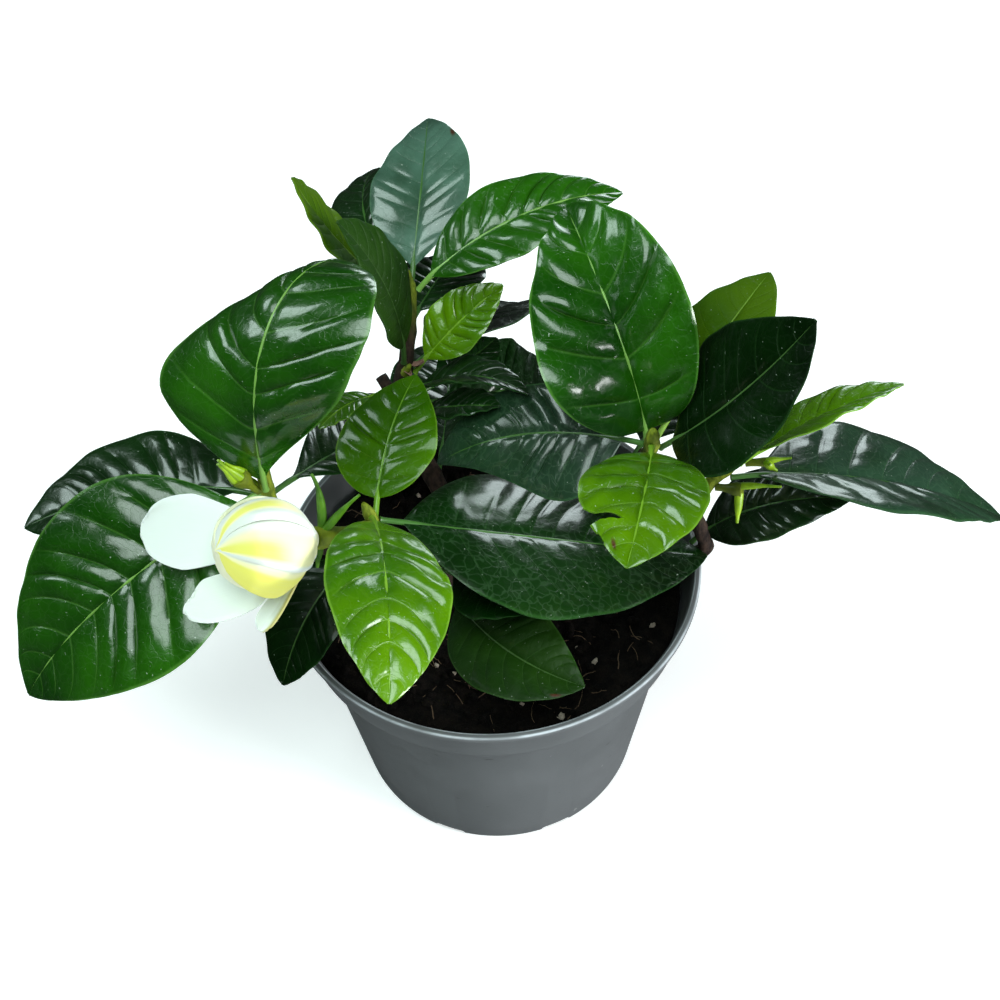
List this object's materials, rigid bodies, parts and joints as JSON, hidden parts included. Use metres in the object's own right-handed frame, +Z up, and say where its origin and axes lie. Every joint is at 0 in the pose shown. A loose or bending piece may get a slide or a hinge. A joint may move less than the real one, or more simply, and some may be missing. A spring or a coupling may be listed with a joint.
{
  "type": "potted gardenia",
  "caption": "Young gardenia with glossy oval leaves on woody shoots and a half-open white flower, growing in soil in a tapered grey plastic nursery pot.",
  "frame": {"origin": "middle of the pot's underside, where the pot rests", "axes": "+Z up, +X to the right and +Y away from the viewer as the plant is pictured; the flower is at -X, -Y"},
  "size_m": [0.2869, 0.197, 0.2136],
  "materials": {
    "pot": "satin",
    "soil": "matte, crumbly",
    "bark": "matte",
    "leaf_dark": "glossy",
    "leaf_mid": "glossy",
    "leaf_lime": "glossy",
    "petal_white": "soft satin",
    "petal_cream": "soft satin",
    "calyx": "satin"
  },
  "bodies": {
    "root": {"pot": "pot", "soil": "soil", "stem_crown": "bark", "stem_centre": "bark", "stem_right": "bark", "leaf_left_top": "leaf_mid", "leaf_left_low": "leaf_mid", "leaf_left_back": "leaf_dark", "leaf_left_inner": "leaf_dark", "leaf_small_lime": "leaf_lime", "leaf_crown_tall": "leaf_dark", "leaf_crown_right": "leaf_mid", "leaf_crown_back": "leaf_dark", "leaf_crown_left": "leaf_lime", "leaf_crown_low": "leaf_dark", "leaf_mid_up": "leaf_dark", "leaf_mid_lime": "leaf_lime", "leaf_curved_dark": "leaf_dark", "leaf_short_dark": "leaf_dark", "leaf_back_glossy": "leaf_dark", "leaf_back_tip": "leaf_dark", "leaf_spike_dark": "leaf_dark", "leaf_shadow_left": "leaf_dark", "leaf_right_top": "leaf_mid", "leaf_right_dark": "leaf_dark", "leaf_right_back": "leaf_mid", "leaf_right_bitten": "leaf_lime", "leaf_right_inner": "leaf_dark", "leaf_far_lime": "leaf_lime", "leaf_far_long": "leaf_dark", "leaf_far_low": "leaf_dark", "leaf_centre_lime": "leaf_lime", "leaf_centre_bright": "leaf_lime", "leaf_centre_long": "leaf_dark", "leaf_left_down": "leaf_dark", "leaf_on_soil": "leaf_dark", "leaf_under_centre": "leaf_dark", "leaf_hidden_back": "leaf_dark", "leaf_hidden_right": "leaf_dark", "bloom_calyx": "calyx", "bloom_tube": "petal_white", "petal_broad": "petal_white", "petal_lower": "petal_white", "petal_folded": "petal_white", "petal_wrap_1": "petal_cream", "petal_wrap_2": "petal_cream", "petal_wrap_3": "petal_cream", "petal_wrap_4": "petal_cream", "petal_wrap_5": "petal_cream", "petal_wrap_6": "petal_cream", "bloom_heart": "petal_cream", "calyx_spent": "calyx", "calyx_far": "calyx", "bud_far": "calyx"}
  },
  "joints": []
}
